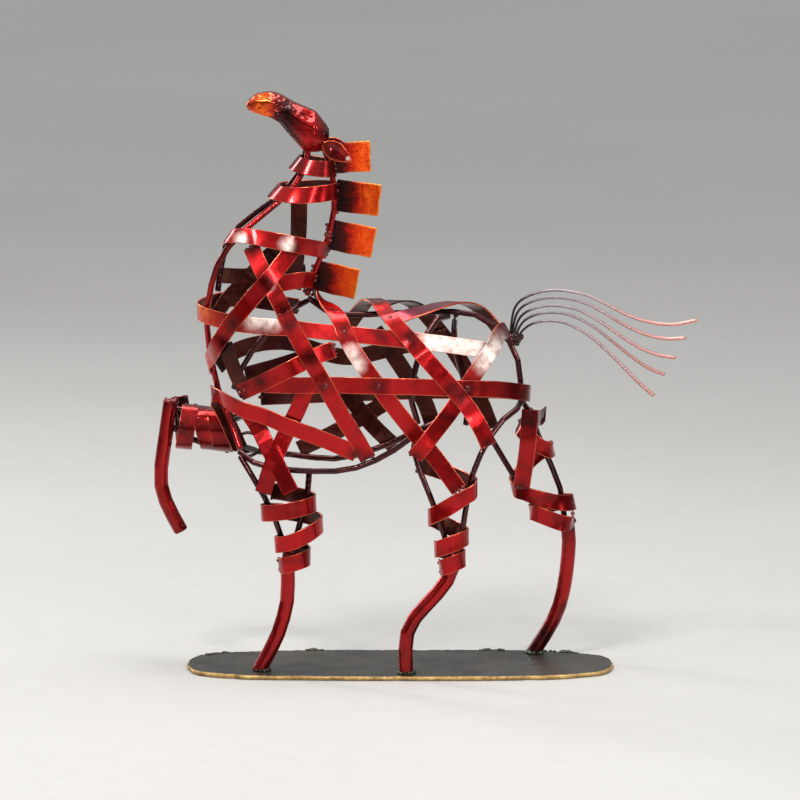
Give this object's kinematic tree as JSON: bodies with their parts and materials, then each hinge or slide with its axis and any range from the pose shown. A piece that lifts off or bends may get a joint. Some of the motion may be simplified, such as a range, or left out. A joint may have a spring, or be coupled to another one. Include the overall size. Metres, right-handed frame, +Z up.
{
  "type": "scrap metal horse sculpture",
  "caption": "Tabletop statue of a walking horse, welded from flat iron straps, round rod and scrap, one foreleg raised, standing on a torch-cut base plate.",
  "frame": {"origin": "centre of the base plate's flat underside", "axes": "+Z up; the horse faces -X; its left side faces -Y"},
  "size_m": [0.428, 0.1236, 0.456],
  "materials": {
    "red_lacquer": "glossy clear red lacquer over steel strap",
    "brown_lacquer": "dark brown lacquered steel strap",
    "black_rod": "glossy black-brown lacquered rod",
    "mottled_plate": "lacquered plate, dark maroon turning to mottled orange",
    "head_sheet": "glossy lacquered sheet, orange at the muzzle",
    "tail_wire": "steel wire tinted rose towards the tips",
    "base_plate": "dark lacquered steel plate with a bare ochre torch-cut rim"
  },
  "bodies": {
    "root": {"back_strap": "red_lacquer", "back_to_thigh_strap": "red_lacquer", "base_plate": "base_plate", "brisket_cross": "red_lacquer", "brisket_curl": "brown_lacquer", "brisket_strap": "red_lacquer", "chest_strap": "brown_lacquer", "collar_strap": "red_lacquer", "crest_rod": "black_rod", "far_back_strap": "brown_lacquer", "far_belly_cross": "brown_lacquer", "far_belly_rod": "black_rod", "far_ear": "head_sheet", "far_flank_rod": "black_rod", "far_flank_strap": "brown_lacquer", "far_hind_cannon": "red_lacquer", "far_hindleg_rods": "black_rod", "far_hindleg_winding": "red_lacquer", "far_hock_strap": "red_lacquer", "far_neck_cross": "brown_lacquer", "far_neck_upright": "brown_lacquer", "far_rib_strap": "brown_lacquer", "far_shoulder_strap": "brown_lacquer", "far_thigh_strap": "brown_lacquer", "far_throat_rod": "black_rod", "head": "head_sheet", "lower_neck_ring": "red_lacquer", "mane_plate_1": "mottled_plate", "mane_plate_2": "mottled_plate", "mane_plate_3": "mottled_plate", "mane_plate_4": "mottled_plate", "middle_neck_ring": "red_lacquer", "near_belly_rod": "black_rod", "near_ear": "head_sheet", "near_flank_rod": "black_rod", "near_foreleg_front_rod": "black_rod", "near_foreleg_rear_rod": "black_rod", "near_foreleg_winding": "red_lacquer", "near_front_cannon": "red_lacquer", "near_hind_cannon": "red_lacquer", "near_hindleg_front_rod": "black_rod", "near_hindleg_rear_rod": "black_rod", "near_hindleg_winding": "red_lacquer", "near_shoulder_rod": "black_rod", "near_throat_rod": "black_rod", "neck_to_chest_strap": "red_lacquer", "raised_cannon": "red_lacquer", "raised_foreleg_rods": "black_rod", "raised_foreleg_winding": "red_lacquer", "raised_knee_band": "red_lacquer", "rib_strap": "red_lacquer", "rump_to_flank_strap": "red_lacquer", "shoulder_strap": "red_lacquer", "spine_rod": "black_rod", "tail_wires": "tail_wire", "throat_ring": "red_lacquer", "throat_strap": "red_lacquer", "upper_band": "red_lacquer", "waist_belt": "red_lacquer", "withers_to_thigh_strap": "red_lacquer"}
  },
  "joints": []
}
